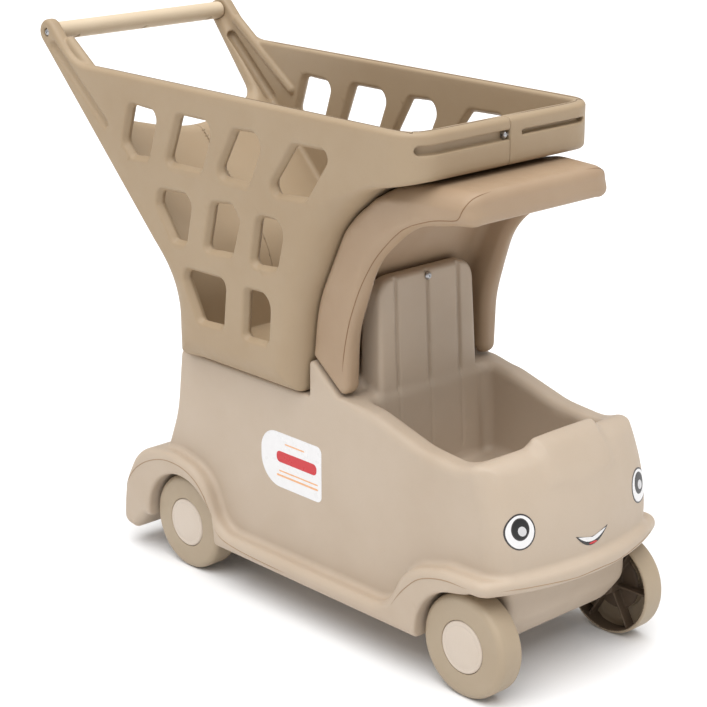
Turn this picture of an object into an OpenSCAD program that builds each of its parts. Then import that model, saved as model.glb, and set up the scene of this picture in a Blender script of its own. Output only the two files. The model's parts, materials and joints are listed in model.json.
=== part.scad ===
// Ride-along toy shopping cart: a blow-moulded car body with a cockpit for a
// doll, a hood over it, a two-piece basket with a push handle, and four wheels.
// The frame stands on the floor: +X is forward, +Y is left and +Z is up.

/* [Chassis] */
// Distance between the two axles
wheelbase = 360; // [320:1:440]
// Half the width of the body's side walls
body_half_w = 95; // [90:1:110]
// How far the wheel flares and bumpers stand out of the side walls
flare_out = 16; // [12:1:20]
// Height of the deck that carries the basket
deck_z = 212; // [200:1:230]
// Height of the body's underside
belly_z = 38; // [34:1:42]
// Thickness of the moulded skin
skin = 2.5; // [1.5:0.1:3.5]

/* [Cockpit] */
// Half the inner width of the cockpit
cockpit_half_w = 72; // [60:1:76]
// Height of the cockpit's floor
cockpit_floor_z = 135; // [120:1:150]
// Half the width of the backrest
backrest_half_w = 60; // [50:1:62]
// Height of the backrest's top
backrest_top_z = 319; // [290:1:330]

/* [Hood] */
// Half the outer width of the hood's pillars
hood_half_w = 92; // [88:1:94]
// Thickness of each pillar
pillar_t = 18; // [14:1:22]
// Thickness of the hood's back between the pillars
roof_t = 13; // [11:0.5:13]
// Height of the visor's top
visor_top_z = 418; // [415:1:419]

/* [Basket] */
// Height of the basket's rim
rim_z = 463; // [455:1:490]
// Thickness of the double wall
wall = 12; // [10:0.5:13]
// Width of the two arms that carry the handle
arm_w = 24; // [22:1:26]
// Height of the rear wall's top, at its lowest in the middle
rear_wall_z = 398; // [385:1:405]
// Radius of the basket's front corners, seen from above
basket_corner_r = 30; // [20:1:40]

/* [Handle] */
// Distance of the handle's axis behind the rear axle
handle_back = 183; // [175:1:190]
// Height of the handle's axis
handle_z = 487; // [480:1:510]
// Radius of the handle
handle_r = 8.4; // [7:0.1:10]

/* [Wheels] */
// Radius of the wheels
wheel_r = 45.25; // [42:0.25:46]
// Width of the tread
tread_w = 24; // [20:1:26]
// Radius of the steel axles
axle_r = 4; // [3:0.1:5]
// Radial clearance between axle and hub
axle_gap = 0.08; // [0.05:0.01:0.1]
// Radius of the hubcaps
hubcap_r = 22.8; // [18:0.1:25]
// Clearance between wheel and wheel arch
arch_gap = 3.2; // [2.5:0.1:5]

/* [Fasteners] */
// Radius of a pan screw's head
screw_head_r = 3.5; // [3:0.1:4]
// Radius of a pan screw's shank
screw_r = 1.7; // [1.4:0.1:2]

/* [Stickers] */
// Width of an eye sticker
eye_w = 27; // [24:1:34]
// Height of an eye sticker
eye_h = 30; // [26:1:36]
// Thickness of the sticker film
film = 0.4; // [0.2:0.1:0.6]

/* [Hidden] */
$fn = 64;

// Colours of the plastics and the steel
SAND = [0.78, 0.69, 0.58];
TAN = [0.74, 0.62, 0.49];
WHEEL_TAN = [0.70, 0.61, 0.49];
CREAM = [0.86, 0.78, 0.69];
STEEL = [0.72, 0.73, 0.75];
WHITE = [0.94, 0.94, 0.92];

// Overall reach: the handle's arms behind, the bumper in front
bumper_front = 57;
arm_tip_r = arm_w / 2;
behind = handle_back + arm_tip_r;
ahead = wheelbase + bumper_front;
ra = -(ahead - behind) / 2;
fa = ra + wheelbase;
axle_z = wheel_r;

// Seats and running gaps
seat_gap = 0.2;
run_gap = 0.5;
hood_gap = 1.5;
flare_half_w = body_half_w + flare_out;
basket_half_w = flare_half_w;
well_r = wheel_r + arch_gap;
belly_half_w = 75;
hub_in = belly_half_w + run_gap;
tread_out = belly_half_w + 4 + tread_w;
tread_in = tread_out - tread_w;
pocket_depth = 9;
pocket_floor = tread_out - pocket_depth;
cap_t = 1.6;
axle_half = pocket_floor + run_gap + cap_t + 1.5;

// ---- Outlines -------------------------------------------------------------

// An outline is a list of corners [x, z, radius], counter-clockwise.
function unit(v) = v / norm(v);
function turn(a, b) = a[0] * b[1] - a[1] * b[0];
function xz(p) = [p[0], p[1]];

// Corner i of an outline after both of its sides move inwards by d
function inset_corner(pts, i, d) =
    let (n = len(pts),
         p = xz(pts[i]),
         u = unit(p - xz(pts[(i + n - 1) % n])),
         v = unit(xz(pts[(i + 1) % n]) - p),
         c = turn(u, v),
         m = [-u[1], u[0]] + [-v[1], v[0]],
         k = d / (1 + u * v),
         r = c > 0 ? max(pts[i][2] - d, 0.2) : pts[i][2] + d)
    [p[0] + m[0] * k, p[1] + m[1] * k, r];

function inset(pts, d) = d == 0 ? pts : [for (i = [0 : len(pts) - 1]) inset_corner(pts, i, d)];

// Points of the arc that rounds corner i, one every few degrees
function arc_points(pts, i) =
    let (n = len(pts),
         p = xz(pts[i]),
         a = xz(pts[(i + n - 1) % n]),
         b = xz(pts[(i + 1) % n]),
         u = unit(a - p),
         v = unit(b - p),
         half = acos(max(-1, min(1, u * v))) / 2,
         r = pts[i][2],
         reach = 0.49 * min(norm(a - p), norm(b - p)),
         t = min(r / tan(half), reach),
         rr = t * tan(half),
         c = p + unit(u + v) * (rr / sin(half)),
         start = p + u * t - c,
         sweep = (turn(u, v) < 0 ? 1 : -1) * (180 - 2 * half),
         steps = max(1, ceil(abs(sweep) / 12)))
    rr < 0.15 ? [p] :
    [for (k = [0 : steps])
        let (w = sweep * k / steps)
        c + [start[0] * cos(w) - start[1] * sin(w), start[0] * sin(w) + start[1] * cos(w)]];

function outline(pts, d = 0) =
    let (q = inset(pts, d))
    [for (i = [0 : len(q) - 1]) each arc_points(q, i)];

// A slab with an outline in the XZ plane, from y = -h to y = h
module side_slab(pts, h, d = 0) {
    rotate([90, 0, 0])
        linear_extrude(height = 2 * (h - d), center = true)
            polygon(outline(pts, d));
}

// The same slab from y0 to y1
module side_slab_between(pts, y0, y1, d = 0) {
    translate([0, y1, 0])
        rotate([90, 0, 0])
            linear_extrude(height = y1 - y0)
                polygon(outline(pts, d));
}

// A cylinder along Y from y0 to y1
module cross_bar(r, y0, y1, x, z) {
    translate([x, y1, z])
        rotate([90, 0, 0])
            cylinder(h = y1 - y0, r = r);
}

// ---- Body -----------------------------------------------------------------

shoulder_x = 165;
shoulder_z = 247;
seam_x = 200;
seam_z = 219;
dash_half_w = 38;
dash_z = 215;
nose_lean = 13;
nose_pivot_z = 131;
nose_front = 48;
nose_arc_r = 260;
nose_corner_r = 16;
bumper_arc_r = 240;
bumper_corner_r = 30;
bumper_low_z = 98;
rear_reach = 99;

BODY_SIDE = [
    [ra - 40, belly_z + 6, 2],
    [fa - 50, belly_z + 6, 2],
    [fa + 10, 100, 2],
    [fa + nose_front, 100, 2],
    [fa + nose_front, nose_pivot_z, 30],
    [fa + 44, 160, 60],
    [fa + 27, 207, 16],
    [fa + 11, 208, 30],
    [fa - 14, 195, 60],
    [fa - 60, 199, 90],
    [ra + 243, 215, 60],
    [ra + seam_x + 6, seam_z, 10],
    [ra + seam_x, seam_z, 4],
    [ra + shoulder_x, shoulder_z, 2],
    [ra + shoulder_x, deck_z, 2],
    [ra - 12, deck_z, 5],
    [ra - 20, 150, 120],
    [ra - 40, 100, 20]
];

FLARE_SIDE = [
    [ra - 72, 19, 5],
    [ra - 54, belly_z, 4],
    [fa - 40, belly_z, 2],
    [fa - 30, 80, 4],
    [fa + 12, bumper_low_z, 20],
    [fa + 80, bumper_low_z, 4],
    [fa + 80, 116, 6],
    [fa + 30, 112, 60],
    [fa - 20, 110, 40],
    [fa - 62, 98, 45],
    [fa - 86, 54, 30],
    [ra + 54, 54, 30],
    [ra + 30, 104, 40],
    [ra - 15, 113, 50],
    [ra - 64, 106, 45],
    [ra - 86, 66, 50],
    [ra - rear_reach, 22, 5]
];

BELLY_SIDE = [
    [ra - 60, belly_z, 4],
    [fa + 16, belly_z, 14],
    [fa + 25, 62, 14],
    [fa + 25, 120, 2],
    [ra - 20, 105, 2],
    [ra - 60, 80, 2]
];

DASH_SIDE = [
    [fa + 4, 180, 1],
    [fa + 40, 180, 1],
    [fa + 27, dash_z, 12],
    [fa + 9, dash_z, 5]
];

BACKREST_SIDE = [
    [ra + 190, cockpit_floor_z - 15, 1],
    [ra + 224, cockpit_floor_z - 15, 1],
    [ra + 213, backrest_top_z, 7],
    [ra + 200, backrest_top_z, 5],
    [ra + 190, backrest_top_z - 21, 20]
];

COCKPIT_SIDE = [
    [ra + 223, cockpit_floor_z, 8],
    [fa - 4, cockpit_floor_z, 12],
    [fa + 6, 260, 1],
    [ra + 216, 260, 1]
];

// Corners of a plan whose front is an arc of the given radius, d inside
module bowed_plan(front, back, half_w, arc_r, front_r, back_r, d) {
    bow = arc_r - sqrt(arc_r * arc_r - half_w * half_w);
    steps = 12;
    arc = [for (k = [0 : steps])
        let (y = -half_w + 2 * half_w * k / steps)
        [front - arc_r + sqrt(arc_r * arc_r - y * y), y, k == 0 || k == steps ? front_r : 400]];
    polygon(outline(concat([[back, -half_w, back_r]], arc, [[back, half_w, back_r]]), d));
}

module body_upper(d) {
    intersection() {
        union() {
            side_slab(BODY_SIDE, body_half_w + 5, d);
            side_slab(DASH_SIDE, dash_half_w, d);
        }
        translate([fa + nose_front, 0, nose_pivot_z])
            rotate([0, -nose_lean, 0])
                translate([0, 0, -200])
                    linear_extrude(height = 400)
                        bowed_plan(0, -700, body_half_w, nose_arc_r, nose_corner_r, 2, d);
    }
}

module body_flare(d) {
    intersection() {
        side_slab(FLARE_SIDE, flare_half_w, d);
        linear_extrude(height = 130)
            bowed_plan(fa + bumper_front, ra - rear_reach, flare_half_w, bumper_arc_r,
                       bumper_corner_r, 20, d);
    }
}

module backrest(d) {
    shape = [
        [-backrest_half_w - 2, 100, 1],
        [backrest_half_w + 2, 100, 1],
        [backrest_half_w - 3, backrest_top_z, 20],
        [-backrest_half_w + 3, backrest_top_z, 20]
    ];
    intersection() {
        side_slab(BACKREST_SIDE, backrest_half_w + 10, d);
        translate([ra + 150, 0, 0])
            rotate([90, 0, 90])
                linear_extrude(height = 100)
                    polygon(outline(shape, d));
    }
}

module cockpit_space(d) {
    plan = [
        [ra + 190, -cockpit_half_w, 14],
        [fa + 8, -cockpit_half_w, 34],
        [fa + 8, cockpit_half_w, 34],
        [ra + 190, cockpit_half_w, 14]
    ];
    intersection() {
        side_slab(COCKPIT_SIDE, cockpit_half_w + 10, -d);
        linear_extrude(height = 400)
            polygon(outline(plan, -d));
    }
}

// The body's solid form, with every face d inside its real place
module body_form(d) {
    difference() {
        union() {
            body_upper(d);
            body_flare(d);
            side_slab(BELLY_SIDE, belly_half_w, d);
            backrest(d);
        }
        mirrored() wheel_well_pair(d);
        cockpit_space(d);
    }
}

module mirrored() {
    children();
    mirror([0, 1, 0]) children();
}

module wheel_well_pair(d) {
    for (x = [ra, fa])
        cross_bar(well_r + d, belly_half_w - d, flare_half_w + 20, x, axle_z);
}

module body_shell() {
    color(SAND)
        difference() {
            body_form(0);
            body_form(skin);
            for (x = [ra, fa])
                cross_bar(axle_r + axle_gap, -flare_half_w, flare_half_w, x, axle_z);
            screw_holes();
        }
}

// ---- Basket ---------------------------------------------------------------

basket_floor = deck_z + seat_gap;
band_x = fa - 54;

// The lower edge of the basket, from the rear corner round to the rim's front
BASKET_UNDER = [
    [ra, basket_floor, 8],
    [ra + 159, basket_floor, 8],
    [ra + 171, 298, 120],
    [ra + 208, 375, 90],
    [ra + 252, 411, 50],
    [band_x, 424, 6]
];

// The arms rise at 45 degrees: half an arm measured along X or Z, and the knee
// where the basket's upright rear meets the arm's lower edge
half_arm = arm_w / sqrt(2);
rear_knee = [ra - 1, handle_z - half_arm - handle_back + 1, 150];
arm_top = handle_z + half_arm;

BASKET_SIDE = concat(BASKET_UNDER, [
    [band_x, rim_z, 5],
    [ra - handle_back + arm_top - rim_z, rim_z, 45],
    [ra - handle_back, arm_top, arm_tip_r],
    [ra - handle_back - half_arm, handle_z, arm_tip_r],
    rear_knee
]);

// The same outline with the top left open, for the space inside
cavity_top = arm_top + 60;
BASKET_OPEN = concat(BASKET_UNDER, [
    [band_x, cavity_top, 5],
    [rear_knee[0] - (cavity_top - rear_knee[1]), cavity_top, 5],
    rear_knee
]);

BASKET_PLAN = [
    [ra - 300, -basket_half_w, 1],
    [band_x, -basket_half_w, basket_corner_r],
    [band_x, basket_half_w, basket_corner_r],
    [ra - 300, basket_half_w, 1]
];

// Windows, top row first; corners [x from the rear axle, z, radius]
WINDOWS = [
    [[-57, 388, 6], [-32, 390, 5], [-17, 436, 9], [-58, 438, 9], [-70, 401, 8]],
    [[-8, 390, 6], [43, 391, 6], [61, 438, 11], [11, 438, 8]],
    [[71, 390, 7], [107, 390, 7], [129, 438, 12], [88, 436, 8], [66, 398, 8]],
    [[141, 387, 6], [180, 390, 6], [207, 428, 10], [203, 436, 8], [164, 435, 8], [135, 396, 8]],
    [[1, 320, 5], [19, 321, 5], [30, 368, 11], [-18, 366, 8], [-22, 352, 6]],
    [[44, 320, 6], [83, 323, 6], [94, 357, 7], [84, 370, 8], [56, 367, 8]],
    [[108, 319, 7], [142, 322, 7], [154, 367, 13], [117, 366, 10]],
    [[35, 252, 7], [69, 254, 6], [74, 300, 9], [18, 299, 8], [15, 289, 7]],
    [[96, 251, 6], [130, 253, 6], [134, 299, 14], [100, 298, 6]]
];

function placed(w) = [for (p = w) [ra + p[0], p[1], p[2]]];

// The gap above the rear wall, between the arms; corners [y, z, radius]
rear_gap_low = basket_half_w - 26;
rear_gap_high = basket_half_w - 17;
REAR_GAP = [
    [-rear_gap_low, rear_wall_z + 14, 14],
    [0, rear_wall_z - 7, 300],
    [rear_gap_low, rear_wall_z + 14, 14],
    [rear_gap_high, handle_z - 8, 10],
    [rear_gap_high, cavity_top, 1],
    [-rear_gap_high, cavity_top, 1],
    [-rear_gap_high, handle_z - 8, 10]
];

// Long recess beside the front seam of each half: [from |y|, to |y|, height]
groove_z = rim_z - 14;
GROOVE_RIGHT = [4, 101, 8];
GROOVE_LEFT = [14, 92, 4];
groove_depth = 6.5;

// Dimples in the floor, each with a screw head at its bottom
FLOOR_SCREW_X = [35, 125];
floor_screw_y = 60;
dimple_depth = 3;
dimple_r = 6;

// One half of the basket, on the +Y side, with every face d inside its place
module basket_form(d, groove) {
    difference() {
        intersection() {
            side_slab_between(BASKET_SIDE, d + seat_gap / 2, basket_half_w - d, d);
            linear_extrude(height = 600)
                polygon(outline(BASKET_PLAN, d));
        }
        intersection() {
            side_slab(BASKET_OPEN, basket_half_w, wall - d);
            linear_extrude(height = 700)
                polygon(outline(BASKET_PLAN, wall - d));
        }
        for (w = WINDOWS)
            side_slab_between(placed(w), basket_half_w - wall - 5, basket_half_w + 5, -d);
        translate([ra - 230, 0, 0])
            rotate([90, 0, 90])
                linear_extrude(height = 190)
                    polygon(outline(REAR_GAP, -d));
        translate([band_x - groove_depth - d, groove[0] - d, groove_z - groove[2] / 2 - d])
            cube([50, groove[1] - groove[0] + 2 * d, groove[2] + 2 * d]);
        cross_bar(handle_r + seat_gap + d, 0, handle_half + seat_gap / 2 + d,
                  ra - handle_back, handle_z);
        for (x = FLOOR_SCREW_X)
            translate([ra + x, floor_screw_y, basket_floor + wall - dimple_depth - d])
                cylinder(h = 20, r = dimple_r + d);
    }
}

module basket_half(groove) {
    difference() {
        basket_form(0, groove);
        basket_form(skin, groove);
    }
}

module basket_left() {
    color(SAND)
        difference() {
            basket_half(GROOVE_LEFT);
            screw_holes();
        }
}

module basket_right() {
    color(SAND)
        difference() {
            mirror([0, 1, 0])
                basket_half(GROOVE_RIGHT);
            screw_holes();
        }
}

// ---- Hood -----------------------------------------------------------------

// The basket's lower edge, moved away from the basket by d
function under_basket(d) = inset(BASKET_SIDE, -d);

hood_back = under_basket(hood_gap);
HOOD_SIDE = [
    [ra + seam_x + 3, seam_z + 1, 4],
    [ra + 216, 226, 6],
    [ra + 219, 275, 90],
    [ra + 246, 342, 90],
    [ra + 288, 380, 70],
    [fa - 30, 391, 40],
    [fa - 17, 391, 6],
    [fa - 11, visor_top_z, 12],
    [fa - 68, visor_top_z, 60],
    hood_back[4],
    hood_back[3],
    hood_back[2],
    [ra + shoulder_x + 1.5, shoulder_z + 1, 2]
];

// The space under the roof, between the pillars
hood_inner = under_basket(hood_gap + roof_t);
HOOD_INSIDE = [
    [ra + shoulder_x + roof_t - 3, 190, 1],
    [fa + 20, 190, 1],
    [fa + 20, 391, 1],
    [ra + 266, 391, 40],
    hood_inner[3],
    hood_inner[2]
];

HOOD_PLAN = [
    [ra + 140, -hood_half_w, 1],
    [fa - 75, -hood_half_w, 30],
    [fa - 11, -hood_half_w + 8, 16],
    [fa - 11, hood_half_w - 8, 16],
    [fa - 75, hood_half_w, 30],
    [ra + 140, hood_half_w, 1]
];

module hood_form(d) {
    difference() {
        intersection() {
            side_slab(HOOD_SIDE, hood_half_w + 5, d);
            linear_extrude(height = 600)
                polygon(outline(HOOD_PLAN, d));
        }
        side_slab(HOOD_INSIDE, hood_half_w - pillar_t, -d);
    }
}

module hood() {
    color(TAN)
        difference() {
            hood_form(0);
            hood_form(skin);
            screw_holes();
        }
}

// ---- Handle ---------------------------------------------------------------

handle_half = basket_half_w - wall - seat_gap;
handle_end = 8;
handle_wall = 2.2;
slot_gap = 80;

module handle_bar() {
    color(SAND)
        difference() {
            cross_bar(handle_r, -handle_half, handle_half, ra - handle_back, handle_z);
            cross_bar(handle_r - handle_wall, -handle_half + handle_end, handle_half - handle_end,
                      ra - handle_back, handle_z);
            for (y = [-slot_gap, 0, slot_gap])
                translate([ra - handle_back, y, handle_z])
                    rotate([0, 55, 0])
                        rotate([0, 0, 40])
                            translate([handle_r - 1, 0, 0])
                                rotate([40, 0, 0])
                                    cube([8, 8, 2], center = true);
            screw_holes();
        }
}

// ---- Screws ---------------------------------------------------------------

head_h = 2.4;

// Each screw: [head seat point, direction of the shank as rotate angles, length]
HANDLE_SCREWS = [for (s = [-1, 1])
    [[ra - handle_back, s * (basket_half_w - head_h - 0.6), handle_z], [90 * s, 0, 0], 16]];
SEAM_SCREWS = [
    [[band_x - screw_head_r - 0.3, -GROOVE_RIGHT[0], groove_z], [-90, 0, 0], 13]
];
FLOOR_SCREWS = [for (x = FLOOR_SCREW_X, s = [-1, 1])
    [[ra + x, s * floor_screw_y, basket_floor + wall - dimple_depth], [180, 0, 0], 20]];
HOOD_SCREWS = [
    [[ra + 213.6, 0, backrest_top_z - 7.5], [0, -90, 0], 27]
];

module pan_screw(length) {
    difference() {
        union() {
            translate([0, 0, -head_h])
                cylinder(h = head_h, r = screw_head_r);
            cylinder(h = length, r = screw_r);
        }
        for (a = [0, 90])
            rotate([0, 0, a])
                translate([0, 0, -head_h])
                    cube([0.9, 4.2, 2.2], center = true);
    }
}

// The hole for each shank, and the counterbore that its head sits in
module screw_cut(list) {
    for (s = list)
        translate(s[0])
            rotate(s[1]) {
                cylinder(h = s[2] + 0.5, r = screw_r + 0.1);
                translate([0, 0, -head_h - 1])
                    cylinder(h = head_h + 1, r = screw_head_r + 0.4);
            }
}

module screw_holes() {
    screw_cut(HANDLE_SCREWS);
    screw_cut(SEAM_SCREWS);
    screw_cut(FLOOR_SCREWS);
    screw_cut(HOOD_SCREWS);
}

module screw_set(list) {
    color(STEEL)
        for (s = list)
            translate(s[0])
                rotate(s[1])
                    pan_screw(s[2]);
}

module handle_screws() {
    screw_set(HANDLE_SCREWS);
}

module basket_seam_screw() {
    screw_set(SEAM_SCREWS);
}

module basket_floor_screws() {
    screw_set(FLOOR_SCREWS);
}

module hood_screw() {
    screw_set(HOOD_SCREWS);
}

// ---- Running gear ---------------------------------------------------------

module axle(x) {
    color(STEEL)
        cross_bar(axle_r, -axle_half, axle_half, x, axle_z);
}

module rear_axle() {
    axle(ra);
}

module front_axle() {
    axle(fa);
}

// Push-on caps that hold the wheels on the axles
module axle_caps() {
    color(STEEL)
        for (x = [ra, fa], s = [-1, 1])
            translate([x, s * (pocket_floor + run_gap + cap_t / 2), axle_z])
                rotate([90, 0, 0])
                    difference() {
                        cylinder(h = cap_t, r = axle_r + 4.5, center = true);
                        cylinder(h = cap_t + 2, r = axle_r, center = true);
                    }
}

tread_t = 3;
hub_r = 9;
rib_count = 6;

// A wheel on the +Y side: a cup with its open side inwards, a hub and ribs
module wheel_body() {
    rotate([-90, 0, 0])
        difference() {
            union() {
                rotate_extrude($fn = 96)
                    polygon(outline([
                        [wheel_r - tread_t, tread_in, 1],
                        [wheel_r, tread_in, 2],
                        [wheel_r, tread_out, 6],
                        [hubcap_r + 0.3, tread_out, 1],
                        [hubcap_r + 0.3, pocket_floor, 0],
                        [axle_r, pocket_floor, 0],
                        [axle_r, pocket_floor - 3, 0],
                        [hubcap_r + 3.3, pocket_floor - 3, 2],
                        [hubcap_r + 3.3, tread_out - 3, 2],
                        [wheel_r - tread_t, tread_out - 3, 4]
                    ]));
                translate([0, 0, hub_in])
                    cylinder(h = pocket_floor - hub_in, r = hub_r);
                for (a = [0 : 360 / rib_count : 359])
                    rotate([0, 0, a])
                        translate([hub_r - 1, -1, tread_in + 5])
                            cube([wheel_r - tread_t - hub_r + 2, 2, pocket_floor - tread_in - 6]);
            }
            translate([0, 0, hub_in - 1])
                cylinder(h = tread_out, r = axle_r + axle_gap);
        }
}

module wheel(x, side) {
    color(WHEEL_TAN)
        translate([x, 0, axle_z])
            mirror([0, side < 0 ? 1 : 0, 0])
                wheel_body();
}

// A snap-in cap over the axle's end, a shallow cup
module hubcap(x, side) {
    color(CREAM)
        translate([x, 0, axle_z])
            mirror([0, side < 0 ? 1 : 0, 0])
                rotate([-90, 0, 0])
                    rotate_extrude($fn = 96)
                        polygon(outline([
                            [0, tread_out - 1.6, 0],
                            [hubcap_r - 2, tread_out - 1.6, 0],
                            [hubcap_r - 2, pocket_floor + seat_gap, 0],
                            [hubcap_r, pocket_floor + seat_gap, 0],
                            [hubcap_r, tread_out + 0.6, 1.5],
                            [0, tread_out + 0.6, 0]
                        ]));
}

module wheel_rear_right() {
    wheel(ra, -1);
}

module wheel_rear_left() {
    wheel(ra, 1);
}

module wheel_front_right() {
    wheel(fa, -1);
}

module wheel_front_left() {
    wheel(fa, 1);
}

module hubcap_rear_right() {
    hubcap(ra, -1);
}

module hubcap_rear_left() {
    hubcap(ra, 1);
}

module hubcap_front_right() {
    hubcap(fa, -1);
}

module hubcap_front_left() {
    hubcap(fa, 1);
}

// ---- Stickers -------------------------------------------------------------

eye_y = 74;
eye_z = 150;
mouth_z = 134;
mouth_half_w = 20;
lower_lip = 12.5;
upper_lip = 5;

// An outline in the YZ plane, pushed forward through the nose
module nose_stencil(y, z) {
    translate([fa + 10, y, z])
        rotate([90, 0, 90])
            linear_extrude(height = 60)
                children();
}

// A film on the nose, as thick as the stickers
module nose_film() {
    difference() {
        body_upper(-film);
        body_upper(0);
    }
}

module eye(side) {
    color(WHITE)
        intersection() {
            nose_film();
            nose_stencil(side * eye_y, eye_z)
                polygon([for (a = [0 : 15 : 359]) [eye_w / 2 * cos(a), eye_h / 2 * sin(a)]]);
        }
}

module eye_right() {
    eye(-1);
}

module eye_left() {
    eye(1);
}

module mouth() {
    color([0.5, 0.1, 0.1])
        intersection() {
            nose_film();
            nose_stencil(0, mouth_z)
                polygon(concat(
                    [for (k = [-1 : 0.2 : 1]) [mouth_half_w * k, -lower_lip * (1 - k * k)]],
                    [for (k = [0.8 : -0.2 : -0.8]) [mouth_half_w * k, -upper_lip * (1 - k * k)]]));
        }
}

label_x = 101;
label_z = 142;
label_w = 80;
label_h = 52;

module label(side) {
    shape = [
        [ra + label_x, label_z - label_h / 2, 30],
        [ra + label_x + label_w, label_z - label_h / 2, 6],
        [ra + label_x + label_w, label_z + label_h / 2, 6],
        [ra + label_x, label_z + label_h / 2, 20]
    ];
    color(WHITE)
        mirror([0, side < 0 ? 1 : 0, 0])
            side_slab_between(shape, body_half_w, body_half_w + film);
}

module label_right() {
    label(-1);
}

module label_left() {
    label(1);
}

body_shell();
hood();
basket_right();
basket_left();
handle_bar();
handle_screws();
basket_seam_screw();
basket_floor_screws();
hood_screw();
rear_axle();
front_axle();
axle_caps();
wheel_rear_right();
wheel_rear_left();
wheel_front_right();
wheel_front_left();
hubcap_rear_right();
hubcap_rear_left();
hubcap_front_right();
hubcap_front_left();
eye_right();
eye_left();
mouth();
label_right();
label_left();
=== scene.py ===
"""The looks of the toy shopping cart: smooth blow-moulded shells, wheels, screws and stickers."""
import json
import math

import bmesh
import bpy
import numpy as np
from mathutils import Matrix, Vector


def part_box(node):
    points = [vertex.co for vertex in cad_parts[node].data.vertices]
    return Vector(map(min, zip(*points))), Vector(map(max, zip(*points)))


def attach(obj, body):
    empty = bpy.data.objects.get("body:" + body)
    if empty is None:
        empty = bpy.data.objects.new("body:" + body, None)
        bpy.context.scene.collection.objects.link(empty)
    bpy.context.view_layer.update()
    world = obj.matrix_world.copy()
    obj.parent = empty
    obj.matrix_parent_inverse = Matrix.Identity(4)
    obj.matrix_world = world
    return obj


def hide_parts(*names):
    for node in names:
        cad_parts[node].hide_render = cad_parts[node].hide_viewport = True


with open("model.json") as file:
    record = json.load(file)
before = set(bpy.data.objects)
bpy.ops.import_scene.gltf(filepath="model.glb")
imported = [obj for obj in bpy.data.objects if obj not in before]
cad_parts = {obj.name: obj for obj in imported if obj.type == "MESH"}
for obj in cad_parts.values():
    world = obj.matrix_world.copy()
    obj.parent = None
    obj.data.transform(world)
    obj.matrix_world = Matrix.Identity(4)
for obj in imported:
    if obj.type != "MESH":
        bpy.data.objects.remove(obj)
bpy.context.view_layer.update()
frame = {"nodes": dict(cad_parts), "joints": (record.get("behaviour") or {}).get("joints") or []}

import openvdb
from mathutils import Vector

ROOT = "cart"
JOINTS = {j["child"]: j for j in frame["joints"]}
MM = 0.001
RA = JOINTS["rear_right_wheel"]["pos_m"][0] / MM
FA = JOINTS["front_right_wheel"]["pos_m"][0] / MM
AXLE_Z = JOINTS["rear_right_wheel"]["pos_m"][2] / MM


def node_box(name):
    """A CAD node's lowest and highest corners, in millimetres"""
    low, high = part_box(name)
    return np.array(low) / MM, np.array(high) / MM


BODY_LOW, BODY_HIGH = node_box("body_shell")
HOOD_LOW, HOOD_HIGH = node_box("hood")
BASKET_LOW, BASKET_HIGH = node_box("basket_left")
SIDE_Y = BASKET_HIGH[1]
DECK_Z = BASKET_LOW[2]
VISOR_TOP = HOOD_HIGH[2]
HOOD_Y = HOOD_HIGH[1]
BODY_Y = node_box("label_left")[0][1]

# Grid steps of the distance fields: [quick, full]
BODY_STEP = (2.0, 1.3)
BASKET_STEP = (1.9, 1.25)
WHEEL_STEP = (0.9, 0.7)
HANDLE_STEP = (1.3, 0.9)
MARGIN = 4
STEP_OF_ARC = math.radians(4)


def grid_step(pair):
    """The grid step for this run"""
    return pair[1]


# ---------------------------------------------------------------- outlines


def outline(corners):
    """Points of a polygon whose corners are [u, v, radius], counter-clockwise"""
    points = []
    count = len(corners)
    for i in range(count):
        p = np.array(corners[i][:2], float)
        a = np.array(corners[i - 1][:2], float)
        b = np.array(corners[(i + 1) % count][:2], float)
        u = (a - p) / np.linalg.norm(a - p)
        v = (b - p) / np.linalg.norm(b - p)
        half = math.acos(max(-1.0, min(1.0, float(u @ v)))) / 2
        reach = 0.49 * min(np.linalg.norm(a - p), np.linalg.norm(b - p))
        t = min(corners[i][2] / math.tan(half), reach)
        r = t * math.tan(half)
        if r < 0.1:
            points.append(p)
            continue
        centre = p + (u + v) / np.linalg.norm(u + v) * (r / math.sin(half))
        start = p + u * t - centre
        sign = 1 if u[0] * v[1] - u[1] * v[0] < 0 else -1
        sweep = sign * (math.pi - 2 * half)
        steps = max(2, math.ceil(abs(sweep) / STEP_OF_ARC))
        for k in range(steps + 1):
            w = sweep * k / steps
            turn = np.array([[math.cos(w), -math.sin(w)], [math.sin(w), math.cos(w)]])
            points.append(centre + turn @ start)
    return points


def grown(corners, d):
    """The corners after every side moves outwards by d"""
    out = []
    count = len(corners)
    for i in range(count):
        p = np.array(corners[i][:2], float)
        u = p - np.array(corners[i - 1][:2], float)
        v = np.array(corners[(i + 1) % count][:2], float) - p
        u /= np.linalg.norm(u)
        v /= np.linalg.norm(v)
        m = np.array([u[1] + v[1], -u[0] - v[0]])
        q = p + m * d / (1 + u @ v)
        r = corners[i][2] + (d if u[0] * v[1] - u[1] * v[0] > 0 else -d)
        out.append([q[0], q[1], max(r, 0.2)])
    return out


def from_rear(corners):
    """Corners given from the rear axle, in the part's own frame"""
    return [[RA + c[0], c[1], c[2]] for c in corners]


# ---------------------------------------------------------------- distance fields


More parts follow.
